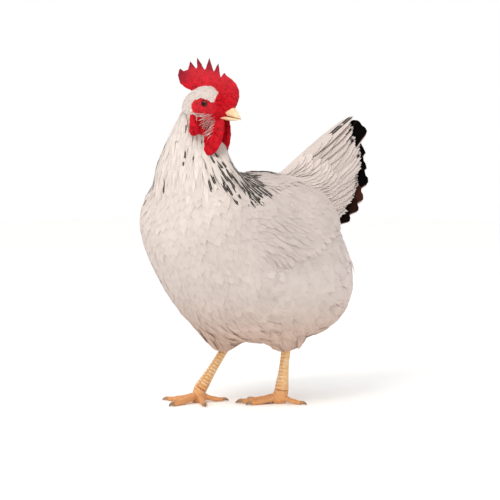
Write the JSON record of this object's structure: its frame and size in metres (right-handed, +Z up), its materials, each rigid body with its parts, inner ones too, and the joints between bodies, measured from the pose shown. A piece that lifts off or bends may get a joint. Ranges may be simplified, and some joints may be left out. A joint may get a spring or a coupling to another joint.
{
  "type": "chicken",
  "caption": "Standing white hen with black-streaked hackle, black tail points, red single comb and wattles, head turned to its left.",
  "frame": {"origin": "on the floor, under the middle of the box round the whole hen", "axes": "+Z up, the hen's body faces -Y, its left side is +X"},
  "size_m": [0.2212, 0.3522, 0.4454],
  "materials": {
    "feather": "soft white plumage",
    "face": "bare red facial skin",
    "comb": "grained red flesh",
    "bill": "pale horn",
    "eye": "wet, glossy",
    "leg": "yellow-orange scales",
    "claw": "grey horn"
  },
  "bodies": {
    "root": {"trunk": "feather", "neck": "feather", "head": "face", "comb": "comb", "bill_upper": "bill", "bill_lower": "bill", "tail": "feather", "wattle_left": "comb", "earlobe_left": "comb", "eye_left": "eye", "wing_left": "feather", "thigh_left": "feather", "shank_left": "leg", "foot_left": "leg", "claw_inner_left": "claw", "claw_middle_left": "claw", "claw_outer_left": "claw", "claw_hind_left": "claw", "wattle_right": "comb", "earlobe_right": "comb", "eye_right": "eye", "wing_right": "feather", "thigh_right": "feather", "shank_right": "leg", "foot_right": "leg", "claw_inner_right": "claw", "claw_middle_right": "claw", "claw_outer_right": "claw", "claw_hind_right": "claw"}
  },
  "joints": []
}
